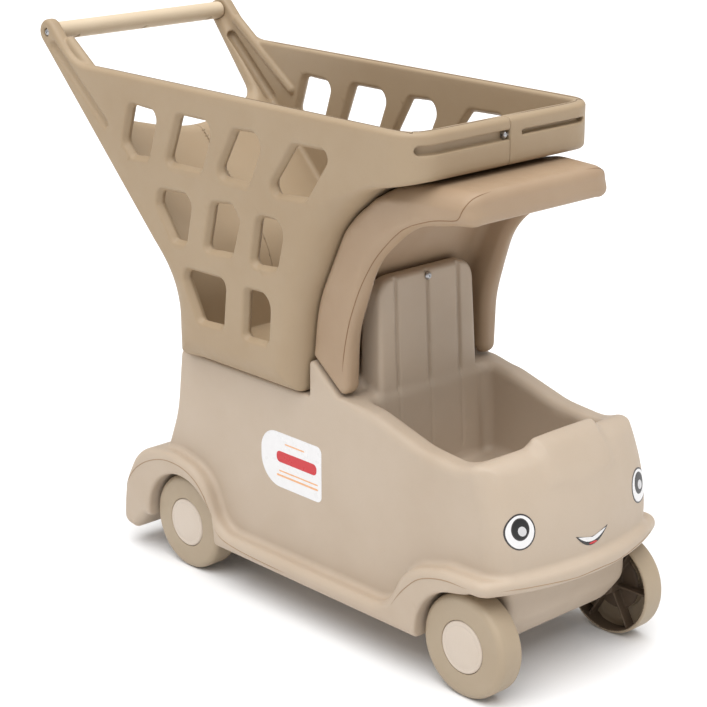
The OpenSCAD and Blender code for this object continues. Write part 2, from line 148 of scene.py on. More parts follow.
class Field:
    """A block of points, STEP apart, on which distances to a surface are kept"""

    def __init__(self, low, high, step):
        self.low = np.array(low, float)
        self.step = step
        size = [int(math.ceil((h - l) / step)) + 1 for l, h in zip(low, high)]
        self.axes = [self.low[i] + step * np.arange(size[i]) for i in range(3)]
        self.x = self.axes[0][:, None, None].astype(np.float32)
        self.y = self.axes[1][None, :, None].astype(np.float32)
        self.z = self.axes[2][None, None, :].astype(np.float32)

    def side(self, corners):
        """Distance to an outline in the XZ plane, carried along Y"""
        return polygon(outline(corners), self.axes[0], self.axes[2])[:, None, :]

    def plan(self, corners):
        """Distance to an outline in the XY plane, carried along Z"""
        return polygon(outline(corners), self.axes[0], self.axes[1])[:, :, None]

    def front(self, corners):
        """Distance to an outline in the YZ plane, carried along X"""
        return polygon(outline(corners), self.axes[1], self.axes[2])[None, :, :]


def polygon(points, us, vs):
    """Signed distance to a polygon at each pair of us and vs, negative inside"""
    u = us[:, None]
    v = vs[None, :]
    best = np.full((len(us), len(vs)), 1e12)
    inside = np.zeros((len(us), len(vs)), bool)
    for i in range(len(points)):
        a = points[i - 1]
        b = points[i]
        e = b - a
        length = e @ e
        if length < 1e-12:
            continue
        t = np.clip(((u - a[0]) * e[0] + (v - a[1]) * e[1]) / length, 0, 1)
        best = np.minimum(best, (u - a[0] - e[0] * t) ** 2 + (v - a[1] - e[1] * t) ** 2)
        if a[1] != b[1]:
            crossed = ((a[1] <= v) != (b[1] <= v)) & (u < a[0] + (v - a[1]) * e[0] / e[1])
            inside ^= crossed
    return (np.where(inside, -1, 1) * np.sqrt(best)).astype(np.float32)


def both(r, *parts):
    """The solid common to the parts, its outer edges rounded to r"""
    top = parts[0]
    for p in parts[1:]:
        top = np.maximum(top, p)
    far = 0
    for p in parts:
        far = far + np.maximum(p + r, 0) ** 2
    return np.minimum(top + r, 0) + np.sqrt(far) - r


def joined(r, *parts):
    """The parts together, with a fillet of radius r where they meet"""
    return -both(r, *[-p for p in parts])


def cut(r, a, b):
    """a without b, the new edges rounded to r"""
    return both(r, a, -b)


def ease(t):
    """0 below 0, 1 above 1, and a smooth rise between"""
    t = np.clip(t, 0, 1)
    return t * t * (3 - 2 * t)


def sample(field, d, points):
    """d at each point, by straight interpolation"""
    q = (points - field.low) / field.step
    top = np.array(d.shape) - 2
    i = np.clip(np.floor(q).astype(int), 0, top)
    f = np.clip(q - i, 0, 1)
    total = 0
    for corner in range(8):
        k = [(corner >> n) & 1 for n in range(3)]
        w = 1
        for n in range(3):
            w = w * (f[:, n] if k[n] else 1 - f[:, n])
        total = total + w * d[i[:, 0] + k[0], i[:, 1] + k[1], i[:, 2] + k[2]]
    return total


def slope(field, d, points, h):
    """The outward direction of the surface at each point"""
    g = np.empty_like(points)
    for n in range(3):
        move = np.zeros(3)
        move[n] = h
        g[:, n] = sample(field, d, points + move) - sample(field, d, points - move)
    return g / np.maximum(np.linalg.norm(g, axis=1), 1e-9)[:, None]


def settle(field, d, points, rounds=3):
    """The points moved on to the surface"""
    for _ in range(rounds):
        n = slope(field, d, points, field.step * 0.6)
        points = points - n * sample(field, d, points)[:, None]
    return points


def new_object(name, mesh, material, body=ROOT, replaces=()):
    """A piece that rides on a body and the CAD nodes it stands for"""
    ob = bpy.data.objects.new(name, mesh)
    bpy.context.scene.collection.objects.link(ob)
    mesh.materials.append(material)
    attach(ob, body)
    if replaces:
        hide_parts(*replaces)
    return ob


def shell_mesh(name, field, d, loose=0.02):
    """A mesh of the surface where d is zero, with the field's own normals"""
    edge = 3 * field.step
    grid = openvdb.FloatGrid(edge)
    grid.copyFromArray(np.clip(d, -edge, edge).astype(np.float32))
    points, tris, quads = grid.convertToPolygons(isovalue=0.0, adaptivity=loose)
    points = settle(field, d, points.astype(float) * field.step + field.low)
    normals = slope(field, d, points, field.step * 0.75)
    faces = [list(map(int, f)) for f in tris] + [list(map(int, f)) for f in quads]
    mesh = bpy.data.meshes.new(name)
    mesh.from_pydata((points * MM).tolist(), [], faces)
    bm = bmesh.new()
    bm.from_mesh(mesh)
    if bm.calc_volume(signed=True) < 0:
        bmesh.ops.reverse_faces(bm, faces=bm.faces)
    bm.to_mesh(mesh)
    bm.free()
    mesh.shade_smooth()
    mesh.normals_split_custom_set_from_vertices(normals.tolist())
    return mesh


def move_mesh(mesh, x, y, z, side=1):
    """Moves a mesh by millimetres, after mirroring it across Y where side is -1"""
    for v in mesh.vertices:
        v.co = Vector((v.co.x + x * MM, side * v.co.y + y * MM, v.co.z + z * MM))
    if side < 0:
        mesh.flip_normals()
    return mesh


def flipped(mesh):
    """Turns a mesh into its mirror image across y = 0, with its own normals"""
    count = len(mesh.vertices)
    co = np.empty(count * 3)
    mesh.vertices.foreach_get("co", co)
    co = co.reshape(-1, 3) * [1, -1, 1]
    faces = [list(p.vertices)[::-1] for p in mesh.polygons]
    normals = np.zeros((count, 3))
    corner_n = np.empty(len(mesh.loops) * 3)
    mesh.corner_normals.foreach_get("vector", corner_n)
    index = np.empty(len(mesh.loops), int)
    mesh.loops.foreach_get("vertex_index", index)
    normals[index] = corner_n.reshape(-1, 3) * [1, -1, 1]
    out = bpy.data.meshes.new(mesh.name)
    out.from_pydata(co.tolist(), [], faces)
    out.shade_smooth()
    out.normals_split_custom_set_from_vertices(normals.tolist())
    return out


def crease(ob, angle=35):
    """Keeps edges sharper than the angle hard"""
    ob.data.set_sharp_from_angle(angle=math.radians(angle))


def mirrored_y(half):
    """A field array on y >= 0 and its mirror image, with y = 0 kept once"""
    return np.concatenate([half[:, :0:-1, :], half], axis=1)


# ---------------------------------------------------------------- materials


def srgb(*c):
    """A colour for a shader socket, from red, green and blue of 0 to 255"""
    return tuple(v / 255 / 12.92 if v / 255 <= 0.04045 else ((v / 255 + 0.055) / 1.055) ** 2.4
                 for v in c) + (1.0,)


def shade(colour, share):
    """The colour with its light cut to a share"""
    return tuple(share * c for c in colour[:3]) + (1.0,)


class Nodes:
    """A material's shader nodes, all placed by object coordinates"""

    def __init__(self, name):
        self.material = bpy.data.materials.new(name)
        self.material.use_nodes = True
        self.tree = self.material.node_tree
        self.bsdf = self.tree.nodes["Principled BSDF"]
        self.place = self.add("ShaderNodeTexCoord").outputs["Object"]

    def add(self, kind, **inputs):
        node = self.tree.nodes.new(kind)
        for key, value in inputs.items():
            self.put(node.inputs[key.replace("_", " ")], value)
        return node

    def put(self, socket, value):
        if isinstance(value, bpy.types.NodeSocket):
            self.tree.links.new(value, socket)
        else:
            socket.default_value = value

    def noise(self, scale, detail=3.0, rough=0.55):
        return self.add("ShaderNodeTexNoise", Vector=self.place, Scale=scale, Detail=detail,
                        Roughness=rough).outputs["Fac"]

    def ramp(self, value, low, high, to_low, to_high):
        node = self.add("ShaderNodeMapRange", Value=value, From_Min=low, From_Max=high,
                        To_Min=to_low, To_Max=to_high)
        return node.outputs["Result"]

    def mix(self, share, a, b):
        node = self.tree.nodes.new("ShaderNodeMix")
        node.data_type = "RGBA"
        for socket, value in zip((node.inputs[0], node.inputs[6], node.inputs[7]), (share, a, b)):
            self.put(socket, value)
        return node.outputs[2]

    def bump(self, height, strength, distance, after=None):
        node = self.add("ShaderNodeBump", Height=height, Strength=strength, Distance=distance)
        if after is not None:
            self.put(node.inputs["Normal"], after)
        return node.outputs["Normal"]


def plastic(name, colour, darker, rough=0.52, grain=0.00012, soft=0.0):
    """Blow-moulded polyethylene: a cloudy colour, dull patches and a fine orange peel"""
    n = Nodes(name)
    cloud = n.ramp(n.noise(9, 4), 0.35, 0.65, 0, 1)
    speck = n.ramp(n.noise(700, 2), 0.62, 0.8, 0, 0.25)
    base = n.mix(cloud, colour, darker)
    scuffed = n.mix(speck, base, shade(darker, 0.82))
    n.put(n.bsdf.inputs["Base Color"], scuffed)
    n.put(n.bsdf.inputs["Roughness"], n.ramp(n.noise(60, 5), 0.3, 0.7, rough - 0.06, rough + 0.08))
    peel = n.bump(n.noise(1100, 2, 0.6), 0.55, grain)
    wave = n.bump(n.noise(32, 2, 0.4), 0.35, 0.0006, peel)
    n.put(n.bsdf.inputs["Normal"], wave)
    n.bsdf.inputs["Specular IOR Level"].default_value = 0.38
    n.bsdf.inputs["Subsurface Weight"].default_value = soft
    n.bsdf.inputs["Subsurface Radius"].default_value = (0.004, 0.0025, 0.0016)
    return n.material


def metal(name, colour, rough):
    """Zinc-plated steel with fine brushed patches"""
    n = Nodes(name)
    n.put(n.bsdf.inputs["Base Color"], n.mix(n.noise(400, 4), colour, shade(colour, 0.75)))
    n.put(n.bsdf.inputs["Roughness"], n.ramp(n.noise(900, 3), 0.3, 0.7, rough - 0.08, rough + 0.12))
    n.put(n.bsdf.inputs["Normal"], n.bump(n.noise(1800, 2), 0.3, 0.00005))
    n.bsdf.inputs["Metallic"].default_value = 1.0
    return n.material


def vinyl(name, colour):
    """Printed film, a little uneven in its ink"""
    n = Nodes(name)
    share = n.ramp(n.noise(150, 3), 0.3, 0.7, 0, 0.35)
    n.put(n.bsdf.inputs["Base Color"], n.mix(share, colour, shade(colour, 0.88)))
    n.put(n.bsdf.inputs["Roughness"], n.ramp(n.noise(90, 4), 0.3, 0.7, 0.24, 0.36))
    n.put(n.bsdf.inputs["Normal"], n.bump(n.noise(600, 2), 0.25, 0.00004))
    return n.material


SAND = plastic("sand_plastic", srgb(181, 165, 147), srgb(176, 159, 140), soft=0.05)
BASKET_SAND = plastic("basket_plastic", srgb(160, 140, 114), srgb(155, 134, 107), soft=0.05)
TAN = plastic("tan_plastic", srgb(161, 138, 113), srgb(155, 131, 106), rough=0.5, soft=0.05)
WHEEL = plastic("wheel_plastic", srgb(166, 150, 128), srgb(160, 143, 120), rough=0.5)
HANDLE_SAND = plastic("handle_plastic", srgb(205, 187, 161), srgb(198, 179, 152), rough=0.5)
# Painted shade: a dark brown for the faces inside each wheel's hollow, standing for the shadow in there
WHEEL_HOLLOW_SHADE = plastic("wheel_hollow_painted_shade", srgb(96, 80, 64), srgb(78, 64, 50), rough=0.6)
CREAM = plastic("cream_plastic", srgb(199, 186, 172), srgb(194, 180, 165), rough=0.42)
STEEL = metal("steel", srgb(190, 190, 192), 0.34)
WHITE = vinyl("white_vinyl", srgb(222, 221, 221))
GREY = vinyl("grey_vinyl", srgb(52, 48, 48))
BLACK = vinyl("black_vinyl", srgb(16, 15, 16))
PALE = vinyl("pale_vinyl", srgb(196, 195, 196))
RED = vinyl("red_vinyl", srgb(190, 28, 38))
ORANGE = vinyl("orange_vinyl", srgb(222, 164, 116))

# ---------------------------------------------------------------- body

WELL_R = 48.45
NOSE_ARC = 260
BUMPER_ARC = 225
NOSE_FRONT = FA + 48
NOSE_BEND = 0.0033
NOSE_UPRIGHT_Z = 125
BODY_SIDE = from_rear([
    [-40, 44, 2], [310, 44, 2], [370, 94, 2], [450, 94, 2], [450, 150, 20],
    [388, 208, 16], [371, 208, 30], [346, 195, 60], [300, 199, 90], [243, 215, 60],
    [206, 219, 10], [200, 219, 4], [165, 247, 3], [165, DECK_Z - 0.2, 2],
    [-12, DECK_Z - 0.2, 5], [-20, 150, 120], [-40, 100, 20]])
FLARE_SIDE = from_rear([
    [-72, 19, 5], [-54, 38, 4], [320, 38, 2], [330, 80, 4], [372, 98, 20], [440, 98, 4], [440, 116, 6],
    [390, 112, 60], [340, 110, 40], [298, 98, 45], [274, 54, 30], [54, 54, 30],
    [30, 104, 40], [-15, 113, 50], [-64, 106, 45], [-86, 66, 50], [-99, 22, 5]])
BELLY_SIDE = from_rear([
    [-60, 38, 8], [370, 38, 20], [385, 64, 20], [385, 120, 2], [-20, 105, 2], [-60, 80, 2]])
DASH_SIDE = from_rear([[364, 180, 1], [400, 180, 1], [387, 215, 12], [369, 215, 5]])
BACKREST_SIDE = from_rear([
    [190, 120, 1], [224, 120, 1], [213, 319, 7], [200, 319, 5], [190, 298, 20]])
BACKREST_FRONT = [[-62, 100, 1], [62, 100, 1], [57, 319, 20], [-57, 319, 20]]
COCKPIT_SIDE = from_rear([[223, 135, 8], [356, 135, 12], [366, 260, 1], [216, 260, 1]])
COCKPIT_PLAN = from_rear([[190, -72, 14], [368, -72, 34], [368, 72, 34], [190, 72, 14]])


def bowed(front, back, half, back_r, corner):
    """A plan outline whose front bows forward on the bumper's arc"""
    arc = []
    for k in range(13):
        y = -half + 2 * half * k / 12
        r = corner if k in (0, 12) else 400
        arc.append([front - BUMPER_ARC + math.sqrt(BUMPER_ARC ** 2 - y * y), y, r])
    return [[back, -half, back_r]] + arc + [[back, half, back_r]]


def body_distance(f):
    """The car: upper body and nose, dash, flares, belly, cockpit, backrest and wheel wells"""
    ay = np.abs(f.y)
    above = np.maximum(f.z - NOSE_UPRIGHT_Z, 0)
    forward = f.x - NOSE_FRONT + NOSE_BEND * above ** 2
    forward = forward / np.sqrt(1 + (2 * NOSE_BEND * above) ** 2)
    nose = np.sqrt(np.maximum(forward + NOSE_ARC, 0) ** 2 + ay ** 2) - NOSE_ARC
    rim = 3 + 5 * ease((f.x - RA - 205) / 30)
    upper = both(rim, f.side(BODY_SIDE), ay - BODY_Y)
    upper = both(15, upper, nose)
    dash = both(9, both(5, f.side(DASH_SIDE), ay - 38), nose + 1)
    upper = joined(9, upper, dash)
    well = np.sqrt((f.x - RA) ** 2 + (f.z - AXLE_Z) ** 2)
    well = np.minimum(well, np.sqrt((f.x - FA) ** 2 + (f.z - AXLE_Z) ** 2)) - WELL_R
    flare = both(7, f.side(FLARE_SIDE), f.plan(bowed(FA + 57, RA - 99, SIDE_Y, 20, 34)))
    chin = ease((f.x - FA + 10) / 20)
    belly = both(8, f.side(BELLY_SIDE), ay - 75 + 0.0125 * chin * np.maximum(74 - f.z, 0) ** 2)
    solid = joined(3, joined(5, upper, flare), belly)
    cockpit = both(9, f.side(COCKPIT_SIDE), f.plan(COCKPIT_PLAN))
    solid = cut(8, solid, cockpit)
    rest = both(4.5, f.side(BACKREST_SIDE), f.front(BACKREST_FRONT))
    face = (f.x - RA - 224) + (f.z - 120) * 0.0553
    for y in (0, 38):
        groove = both(1, np.abs(ay - y) - 1.8, -(face + 2.6), 150 - f.z)
        rest = cut(1.2, rest, groove)
    solid = joined(5, solid, rest)
    return cut(2.5, solid, both(2, well, 75 - ay))


def half_field(low, high, step):
    """A field on y >= 0 that mirrors on to y <= 0"""
    return Field([low[0] - MARGIN, 0, low[2] - MARGIN], high + MARGIN, step)


def whole(f, half):
    """The mirrored field and its array"""
    d = mirrored_y(half)
    g = Field([f.low[0], -f.axes[1][-1], f.low[2]],
              [f.axes[0][-1], f.axes[1][-1], f.axes[2][-1]], f.step)
    g.axes[1] = g.low[1] + g.step * np.arange(d.shape[1])
    return g, d


half = half_field(BODY_LOW, BODY_HIGH, grid_step(BODY_STEP))
BODY_FIELD, BODY_D = whole(half, body_distance(half) + np.zeros((1, 1, 1), np.float32))
new_object("body_moulding", shell_mesh("body_moulding", BODY_FIELD, BODY_D), SAND,
           replaces=["body_shell"])

# ---------------------------------------------------------------- basket

BAND_X = FA - 54
RIM_Z = 463
HANDLE_X = RA - 183
HANDLE_Z = 487
HALF_ARM = 24 / math.sqrt(2)
BASKET_UNDER = from_rear([
    [0, DECK_Z, 8], [159, DECK_Z, 8], [171, 298, 120], [208, 375, 90], [252, 411, 50]])
KNEE = [RA - 1, HANDLE_Z - HALF_ARM - 182, 150]
ARM_TOP = HANDLE_Z + HALF_ARM
BASKET_SIDE = BASKET_UNDER + [
    [BAND_X + 30, 424 + 7.2, 1], [BAND_X + 30, RIM_Z, 1],
    [HANDLE_X + ARM_TOP - RIM_Z, RIM_Z, 45], [HANDLE_X, ARM_TOP, 12],
    [HANDLE_X - HALF_ARM, HANDLE_Z, 12], KNEE]
BASKET_OPEN = BASKET_UNDER + [
    [BAND_X, 424, 6], [BAND_X, ARM_TOP + 60, 5],
    [KNEE[0] - (ARM_TOP + 60 - KNEE[1]), ARM_TOP + 60, 5], KNEE]
BASKET_PLAN = [[RA - 300, -SIDE_Y, 1], [BAND_X, -SIDE_Y, 30],
               [BAND_X, SIDE_Y, 30], [RA - 300, SIDE_Y, 1]]
WINDOWS = [
    [[-57, 388, 6], [-32, 390, 5], [-17, 436, 9], [-58, 438, 9], [-70, 401, 8]],
    [[-8, 390, 6], [43, 391, 6], [61, 438, 11], [11, 438, 8]],
    [[71, 390, 7], [107, 390, 7], [129, 438, 12], [88, 436, 8], [66, 398, 8]],
    [[141, 387, 6], [180, 390, 6], [207, 428, 10], [203, 436, 8], [164, 435, 8], [135, 396, 8]],
    [[1, 320, 5], [19, 321, 5], [30, 368, 11], [-18, 366, 8], [-22, 352, 6]],
    [[44, 320, 6], [83, 323, 6], [94, 357, 7], [84, 370, 8], [56, 367, 8]],
    [[108, 319, 7], [142, 322, 7], [154, 367, 13], [117, 366, 10]],
    [[35, 252, 7], [69, 254, 6], [74, 300, 9], [18, 299, 8], [15, 289, 7]],
    [[96, 251, 6], [130, 253, 6], [134, 299, 14], [100, 298, 6]]]
WALL = 12
HAND_GAP = [[-85, 412, 14], [0, 391, 300], [85, 412, 14], [94, 479, 10], [94, 570, 1],
            [-94, 570, 1], [-94, 479, 10]]
WINDOW_GROWN = 1.8
WINDOW_BEVEL = 4.0
TUBE_SEAT_R = 8.7
SCREW_RECESS_R = TUBE_SEAT_R - 4.6
HANDLE_SCREW_DEPTH = 3.0
# Each slot in the front band: [from y, to y, height]
SLOT_LEFT = [14, 92, 4]
SLOT_RIGHT = [-8, 101, 8]
SLOT_Z = RIM_Z - 14
FLOOR_SCREW_X = (35, 125)
FLOOR_SCREW_Y = 60


def capsule(f, start, end, y, r):
    """Distance to a round bar between two points [x from the rear axle, z], at height y on both sides"""
    a = np.array([RA + start[0], start[1]], float)
    b = np.array([RA + end[0], end[1]], float)
    length = np.linalg.norm(b - a)
    along = (b - a) / length
    px = f.x - a[0]
    pz = f.z - a[1]
    t = np.clip(px * along[0] + pz * along[1], 0, length)
    return np.sqrt((px - along[0] * t) ** 2 + (pz - along[1] * t) ** 2 + (np.abs(f.y) - y) ** 2) - r


def basket_distance(f, groove):
    """The left half of the basket; groove is [from y, to y, height] of the slot in its front band"""
    ay = np.abs(f.y)
    side = f.side(BASKET_SIDE)
    under = ease((RIM_Z - 42 - f.z) / 40) * ease((f.x - RA + 30) / 60)
    solid = both(4.5 + 18 * under, side, f.plan(BASKET_PLAN))
    cavity = both(5, f.side(grown(BASKET_OPEN, -WALL)), f.plan(grown(BASKET_PLAN, -WALL)))
    solid = cut(3.4, solid, cavity)
    for x in FLOOR_SCREW_X:
        dimple = np.sqrt((f.x - RA - x) ** 2 + (f.y - FLOOR_SCREW_Y) ** 2) - 6
        solid = cut(1, solid, np.maximum(dimple, DECK_Z + WALL - 3 - f.z))
    for w in WINDOWS:
        pinch = WINDOW_BEVEL * (1 - np.abs(ay - (SIDE_Y - WALL / 2)) / (WALL / 2))
        hole = f.side(grown(from_rear(w), WINDOW_GROWN)) + pinch
        hole = np.maximum(hole, SIDE_Y - WALL - 6 - ay)
        solid = cut(1.0, solid, hole)
    solid = cut(4.5, solid, np.maximum(f.front(HAND_GAP), f.x - (RA - 42)))
    low, high, height = groove
    slot = both(height / 2 - 0.1, np.abs(ay - (low + high) / 2) - (high - low) / 2,
                np.abs(f.z - SLOT_Z) - height / 2)
    slot = both(1.5, slot, -6.2 - f.plan(BASKET_PLAN), BAND_X - 40 - f.x)
    solid = cut(1.2, solid, slot)
    solid = cut(1.6, solid, capsule(f, (-96, 414), (-172, 476), SIDE_Y + 1.5, 5))
    solid = joined(1.5, solid, capsule(f, (-75, 421), (-158, 480), SIDE_Y - WALL + 1.5, 5))
    solid = cut(1.5, solid, capsule(f, (-104, 411), (-162, 464), SIDE_Y - WALL - 2, 4.5))
    rad = np.sqrt((f.x - HANDLE_X) ** 2 + (f.z - HANDLE_Z) ** 2)
    solid = cut(0.8, solid, np.maximum(rad - TUBE_SEAT_R, ay - (SIDE_Y - WALL)))
    recess = np.maximum(rad - SCREW_RECESS_R, SIDE_Y - HANDLE_SCREW_DEPTH - 0.2 - ay)
    solid = cut(0.5, solid, recess)
    return both(0.9, solid, 0.15 - f.y)


low = [BASKET_LOW[0] - MARGIN, -3, BASKET_LOW[2] - MARGIN]
BASKET_FIELD = Field(low, BASKET_HIGH + MARGIN, grid_step(BASKET_STEP))
BASKET_D = basket_distance(BASKET_FIELD, SLOT_LEFT)
new_object("basket_half_left", shell_mesh("basket_half_left", BASKET_FIELD, BASKET_D), BASKET_SAND,
           replaces=["basket_left"])
right_mesh = shell_mesh("basket_half_right", BASKET_FIELD, basket_distance(BASKET_FIELD, SLOT_RIGHT))
new_object("basket_half_right", flipped(right_mesh), BASKET_SAND,
           replaces=["basket_right"])

# ---------------------------------------------------------------- hood

# The hood follows the basket's underside: a small gap away, and its inner face a skin further
UNDER_LOOP = BASKET_UNDER + [[BAND_X, 424, 6], [BAND_X, 600, 5], [RA - 100, 600, 5]]
HOOD_BACK = grown(UNDER_LOOP, 1.5)
HOOD_INNER = grown(UNDER_LOOP, 14.5)
HOOD_SIDE = from_rear([
    [203, 220, 9], [211, 226, 9], [213, 277, 90], [237, 343, 80], [282, 383, 60],
    [330, 391, 40], [343, 391, 6], [350, VISOR_TOP, 19], [292, VISOR_TOP, 60]]) + [
    HOOD_BACK[4], HOOD_BACK[3], HOOD_BACK[2], [RA + 166.5, 248, 2]]
HOOD_INSIDE = [[RA + 175, 190, 1], [FA + 20, 190, 1], [FA + 20, 391, 1], [RA + 266, 391, 40],
               HOOD_INNER[3], HOOD_INNER[2]]
HOOD_PLAN = [[RA + 140, -HOOD_Y, 1], [FA - 75, -HOOD_Y, 30], [FA - 9, -HOOD_Y + 8, 22],
             [FA - 9, HOOD_Y - 8, 22], [FA - 75, HOOD_Y, 30], [RA + 140, HOOD_Y, 1]]


def hood_distance(f):
    """The visor with its two side arms, open below and inside"""
    ay = np.abs(f.y)
    front = ease((f.x - RA - 205) / 30)
    radius = 5 + front * (8 - 5 * ease((f.z - 372) / 14) + 9 * ease((f.z - 396) / 12))
    solid = both(radius, f.side(HOOD_SIDE), f.plan(HOOD_PLAN))
    inside = both(8, f.side(HOOD_INSIDE), ay - (HOOD_Y - 18))
    return cut(2.5 + 6.5 * ease((388 - f.z) / 20), solid, inside)


half = half_field(HOOD_LOW, HOOD_HIGH, grid_step(BASKET_STEP))
HOOD_FIELD, HOOD_D = whole(half, hood_distance(half) + np.zeros((1, 1, 1), np.float32))
new_object("hood_moulding", shell_mesh("hood_moulding", HOOD_FIELD, HOOD_D), TAN,
           replaces=["hood"])

# ---------------------------------------------------------------- mould seams

SEAM_R = 0.45
SEAM_SIDES = 8


def smooth_path(points, gap):
    """Points about gap apart on a smooth curve through the given ones"""
    p = [np.array(q, float) for q in points]
    p = [2 * p[0] - p[1]] + p + [2 * p[-1] - p[-2]]
    out = []
    for i in range(1, len(p) - 2):
        count = max(2, int(np.linalg.norm(p[i + 1] - p[i]) / gap))
        for k in range(count):
            t = k / count
            out.append(0.5 * (2 * p[i] + (p[i + 1] - p[i - 1]) * t
                              + (2 * p[i - 1] - 5 * p[i] + 4 * p[i + 1] - p[i + 2]) * t ** 2
                              + (3 * p[i] - p[i - 1] - 3 * p[i + 1] + p[i + 2]) * t ** 3))
    out.append(p[-2])
    return np.array(out)


def seam(name, paths, field, d, material):
    """The fine ridge that a mould's parting leaves, laid on the surface along each path; the darker
    material it is given paints the shade of the crease the ridge sits in
    """
    bm = bmesh.new()
    for path in paths:
        points = settle(field, d, smooth_path(path, 2.0), 6)
        for _ in range(2):
            points[1:-1] = (points[:-2] + 2 * points[1:-1] + points[2:]) / 4
            points = settle(field, d, points, 2)
        out = slope(field, d, points, 0.8)
        points = points - out * SEAM_R * 0.25
        along = np.gradient(points, axis=0)
        along /= np.linalg.norm(along, axis=1)[:, None]
        across = np.cross(out, along)
        rings = []
        for i in range(len(points)):
            size = SEAM_R * min(1.0, 0.15 + 0.09 * min(i, len(points) - 1 - i))
            offsets = [(out[i] * math.sin(a) + across[i] * math.cos(a)) * size
                       for a in np.linspace(0, 2 * math.pi, SEAM_SIDES, endpoint=False)]
            rings.append([bm.verts.new((points[i] + q) * MM) for q in offsets])
        for a, b in zip(rings, rings[1:]):
            for k in range(SEAM_SIDES):
                m = (k + 1) % SEAM_SIDES
                bm.faces.new([a[k], a[m], b[m], b[k]])
        bm.faces.new(rings[0][::-1])
        bm.faces.new(rings[-1])
    bmesh.ops.recalc_face_normals(bm, faces=bm.faces)
    mesh = bpy.data.meshes.new(name)
    bm.to_mesh(mesh)
    bm.free()
    mesh.shade_smooth()
    return new_object(name, mesh, material)


def both_sides(path):
    """A path and its mirror image across y = 0"""
    return [path, [[p[0], -p[1], p[2]] for p in path]]


# Painted shade: the seam ridges take plastic darker than the walls, standing for the shade in the
# parting-line creases
SEAM_SAND_SHADE = plastic("seam_sand_painted_shade", srgb(158, 134, 108), srgb(146, 122, 97))
SEAM_TAN_SHADE = plastic("seam_tan_painted_shade", srgb(132, 103, 74), srgb(122, 94, 66))
FLARE_Y = SIDE_Y + 1
rear_arch = [[RA + x, FLARE_Y, z] for x, z in (
    (-92, 52), (-84, 64), (-66, 84), (-45, 97), (-22, 104), (2, 104), (22, 97), (36, 84), (46, 66))]
sill = [[RA + x, FLARE_Y, z] for x, z in ((50, 57), (60, 50), (80, 46.5), (110, 45), (150, 44.5))]
front_arch = [[RA + x, FLARE_Y, z] for x, z in ((284, 60), (298, 78), (318, 95), (345, 103), (372, 104))]
bumper = [[FA + x, y, z] for x, y, z in (
    (42, 100, 104), (50, 88, 104), (57, 60, 102.5), (60, 30, 100), (61, 0, 99))]
bumper = bumper + [[p[0], -p[1], p[2]] for p in bumper[-2::-1]]
body_paths = both_sides(rear_arch) + both_sides(sill) + both_sides(front_arch) + [bumper]
seam("body_seams", body_paths, BODY_FIELD, BODY_D, SEAM_SAND_SHADE)
arch_path = [[RA + x, y, z] for x, y, z in (
    (204, 93, 238), (207, 93, 262), (215, 93, 292), (229, 93, 322), (250, 93, 350), (265, 93, 367),
    (282, 93, 379), (306, 92, 391), (326, 88, 395), (332, 87, 398), (336, 85, 407), (340, 80, 415),
    (341, 68, 418), (339, 54, 418))]
# The basket's rim shows where its inner and outer skins part; the line's dark plastic is painted shade of
# the fine groove that parting leaves on the rim top
BASKET_RIM_SHADE = plastic("rim_line_painted_shade", srgb(112, 94, 73), srgb(100, 83, 64))
RIM_LINE = [[RA - 118, SIDE_Y - 8, RIM_Z], [RA + 40, SIDE_Y - 8, RIM_Z], [BAND_X - 36, SIDE_Y - 8, RIM_Z],
            [BAND_X - 14, SIDE_Y - 15, RIM_Z], [BAND_X - 8, SIDE_Y - 36, RIM_Z], [BAND_X - 8, 6, RIM_Z]]
seam("rim_line_left", [RIM_LINE], BASKET_FIELD, BASKET_D, BASKET_RIM_SHADE)
right_line = seam("rim_line_right", [RIM_LINE], BASKET_FIELD, BASKET_D, BASKET_RIM_SHADE)
move_mesh(right_line.data, 0, 0, 0, -1)
seam("hood_seams", both_sides(arch_path), HOOD_FIELD, HOOD_D, SEAM_TAN_SHADE)

# ---------------------------------------------------------------- turned pieces


def turned(name, profile, turns=96):
    """A mesh turned about the Y axis through the origin; profile points are [radius, y], in mm"""
    bm = bmesh.new()
    rings = []
    for r, y in profile:
        if r < 1e-6:
            rings.append([bm.verts.new((0, y * MM, 0))])
            continue
        rings.append([bm.verts.new((r * MM * math.cos(2 * math.pi * k / turns), y * MM,
                                    r * MM * math.sin(2 * math.pi * k / turns))) for k in range(turns)])
    for a, b in zip(rings, rings[1:]):
        for k in range(turns):
            m = (k + 1) % turns
            if len(a) == 1:
                bm.faces.new([a[0], b[k], b[m]])
            elif len(b) == 1:
                bm.faces.new([a[k], b[0], a[m]])
            else:
                bm.faces.new([a[k], b[k], b[m], a[m]])
    bmesh.ops.recalc_face_normals(bm, faces=bm.faces)
    if bm.calc_volume(signed=True) < 0:
        bmesh.ops.reverse_faces(bm, faces=bm.faces)
    mesh = bpy.data.meshes.new(name)
    bm.to_mesh(mesh)
    bm.free()
    mesh.shade_smooth()
    return mesh


TREAD_IN = 79
TREAD_OUT = 103
POCKET = 94
WHEEL_R = AXLE_Z
CAP_R = 22.8
AXLE_R = 4.0
HUB_R = 9
RIBS = 6
TYRE_SKIN = 3.2


